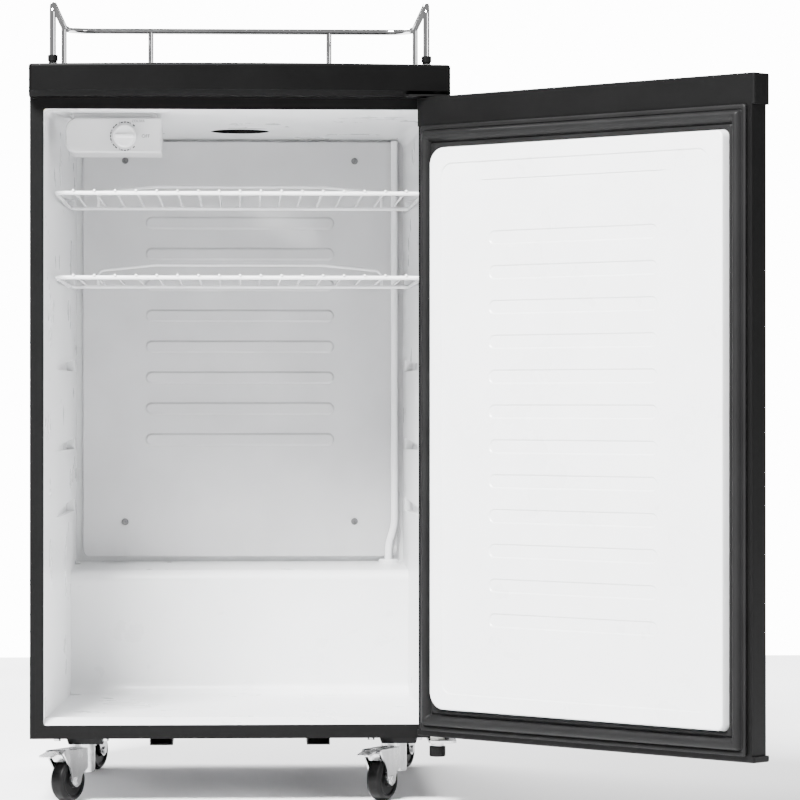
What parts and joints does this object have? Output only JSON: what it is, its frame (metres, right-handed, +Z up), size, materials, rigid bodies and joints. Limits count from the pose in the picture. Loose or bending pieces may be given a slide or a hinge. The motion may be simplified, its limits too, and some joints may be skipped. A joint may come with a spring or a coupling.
{
  "type": "kegerator",
  "caption": "Black kegerator on casters: white-lined cabinet with wire shelves, hinged door resting open, bowed worktop with a tower hole and chrome guard rail.",
  "frame": {"origin": "on the floor, below the middle of the cabinet's front plane", "axes": "+X to the cabinet's right seen from the front, +Y to the back, +Z up"},
  "size_m": [0.8398, 0.9549, 0.9869],
  "materials": {
    "cabinet_paint": "satin black paint on folded steel",
    "base_black": "semi-gloss black paint",
    "galvanised": "spangled zinc coating",
    "screw_steel": "dull plated screws",
    "zinc_plate": "bright zinc plating",
    "rail_chrome": "polished chrome",
    "liner_white": "vacuum-formed polystyrene, soft sheen",
    "evaporator_white": "white powder coat on aluminium",
    "housing_white": "fine-grained moulded plastic",
    "knob_white": "satin moulded plastic",
    "sleeve_white": "smooth vinyl sleeve",
    "shelf_wire": "glossy white coating on wire",
    "worktop_black": "fine-grained black moulding",
    "trim_black": "satin black plastic",
    "bush_nylon": "natural nylon",
    "gasket_rubber": "soft matte vinyl",
    "grommet_rubber": "matte rubber",
    "wheel_rubber": "satin black rubber",
    "copper": "drawn copper tube",
    "foam": "rigid foam"
  },
  "bodies": {
    "cabinet": {"cabinet_shell": "cabinet_paint", "bottom_pan": "galvanised", "rear_panel": "galvanised", "insulation_roof": "foam", "insulation_left": "foam", "insulation_right": "foam", "insulation_back": "foam", "insulation_base": "foam", "inner_liner": "liner_white", "evaporator_plate": "evaporator_white", "evaporator_screws": "screw_steel", "suction_line": "sleeve_white", "suction_grommet": "sleeve_white", "control_housing": "housing_white", "thermostat_body": "zinc_plate", "worktop": "worktop_black", "tower_sleeve": "worktop_black", "guard_rail": "rail_chrome", "rail_ferrules": "trim_black", "compressor": "base_black", "compressor_plate": "galvanised", "compressor_grommets": "grommet_rubber", "start_relay_box": "trim_black", "condenser_coil": "base_black", "condenser_wires": "base_black", "condenser_brackets": "base_black", "filter_drier": "copper", "refrigerant_lines": "copper", "power_gland": "trim_black", "base_runners": "base_black", "caster_mounts": "base_black", "base_screws": "zinc_plate", "upper_hinge_bracket": "cabinet_paint", "lower_hinge_bracket": "zinc_plate", "hinge_pins": "zinc_plate"},
    "door": {"door_panel": "cabinet_paint", "door_foam": "foam", "door_liner": "liner_white", "door_gasket": "gasket_rubber", "door_top_cap": "trim_black", "door_bottom_cap": "trim_black", "hinge_bushings": "bush_nylon"},
    "knob": {"thermostat_knob": "knob_white"},
    "upper_shelf": {"upper_shelf": "shelf_wire"},
    "lower_shelf": {"lower_shelf": "shelf_wire"},
    "leg": {"leveling_leg": "trim_black"},
    "fork_front_left": {"caster_fork_front_left": "zinc_plate", "caster_axle_front_left": "zinc_plate"},
    "wheel_front_left": {"caster_wheel_front_left": "wheel_rubber"},
    "pedal_front_left": {"brake_pedal_front_left": "zinc_plate"},
    "fork_front_right": {"caster_fork_front_right": "zinc_plate", "caster_axle_front_right": "zinc_plate"},
    "wheel_front_right": {"caster_wheel_front_right": "wheel_rubber"},
    "pedal_front_right": {"brake_pedal_front_right": "zinc_plate"},
    "fork_rear_left": {"caster_fork_rear_left": "zinc_plate", "caster_axle_rear_left": "zinc_plate"},
    "wheel_rear_left": {"caster_wheel_rear_left": "wheel_rubber"},
    "fork_rear_right": {"caster_fork_rear_right": "zinc_plate", "caster_axle_rear_right": "zinc_plate"},
    "wheel_rear_right": {"caster_wheel_rear_right": "wheel_rubber"}
  },
  "joints": [
    {"name": "door_hinge", "type": "hinge", "parent": "cabinet", "child": "door", "pos_m": [0.2365, -0.028, 0.4], "axis": [0, 0, 1], "range_deg": [-134.2, 36]},
    {"name": "thermostat_dial", "type": "hinge", "parent": "cabinet", "child": "knob", "pos_m": [-0.14, 0.045, 0.8065], "axis": [0, 1, 0], "range_deg": [0, 293]},
    {"name": "upper_shelf_slide", "type": "slide", "parent": "cabinet", "child": "upper_shelf", "axis": [0, -1, 0], "range_m": [0, 0.065]},
    {"name": "lower_shelf_slide", "type": "slide", "parent": "cabinet", "child": "lower_shelf", "axis": [0, -1, 0], "range_m": [0, 0.065]},
    {"name": "leg_screw", "type": "slide", "parent": "cabinet", "child": "leg", "axis": [0, 0, -1], "range_m": [0, 0.005]},
    {"name": "swivel_front_left", "type": "hinge", "parent": "cabinet", "child": "fork_front_left", "pos_m": [-0.1918, 0.06, 0.06], "axis": [0, 0, 1], "continuous": true},
    {"name": "roll_front_left", "type": "hinge", "parent": "fork_front_left", "child": "wheel_front_left", "pos_m": [-0.20823, 0.03371, 0.0254], "axis": [0.848, -0.5299, 0], "continuous": true},
    {"name": "brake_front_left", "type": "hinge", "parent": "fork_front_left", "child": "pedal_front_left", "pos_m": [-0.21856, 0.01717, 0.0584], "axis": [0.848, -0.5299, 0], "range_deg": [0, 15]},
    {"name": "swivel_front_right", "type": "hinge", "parent": "cabinet", "child": "fork_front_right", "pos_m": [0.188, 0.06, 0.06], "axis": [0, 0, 1], "continuous": true},
    {"name": "roll_front_right", "type": "hinge", "parent": "fork_front_right", "child": "wheel_front_right", "pos_m": [0.1725, 0.03315, 0.0254], "axis": [0.866, -0.5, 0], "continuous": true},
    {"name": "brake_front_right", "type": "hinge", "parent": "fork_front_right", "child": "pedal_front_right", "pos_m": [0.16275, 0.01627, 0.0584], "axis": [0.866, -0.5, 0], "range_deg": [0, 15]},
    {"name": "swivel_rear_left", "type": "hinge", "parent": "cabinet", "child": "fork_rear_left", "pos_m": [-0.203, 0.405, 0.06], "axis": [0, 0, 1], "continuous": true},
    {"name": "roll_rear_left", "type": "hinge", "parent": "fork_rear_left", "child": "wheel_rear_left", "pos_m": [-0.19139, 0.43374, 0.0254], "axis": [-0.9272, 0.3746, 0], "continuous": true},
    {"name": "swivel_rear_right", "type": "hinge", "parent": "cabinet", "child": "fork_rear_right", "pos_m": [0.203, 0.405, 0.06], "axis": [0, 0, 1], "continuous": true},
    {"name": "roll_rear_right", "type": "hinge", "parent": "fork_rear_right", "child": "wheel_rear_right", "pos_m": [0.21461, 0.43374, 0.0254], "axis": [-0.9272, 0.3746, 0], "continuous": true}
  ]
}
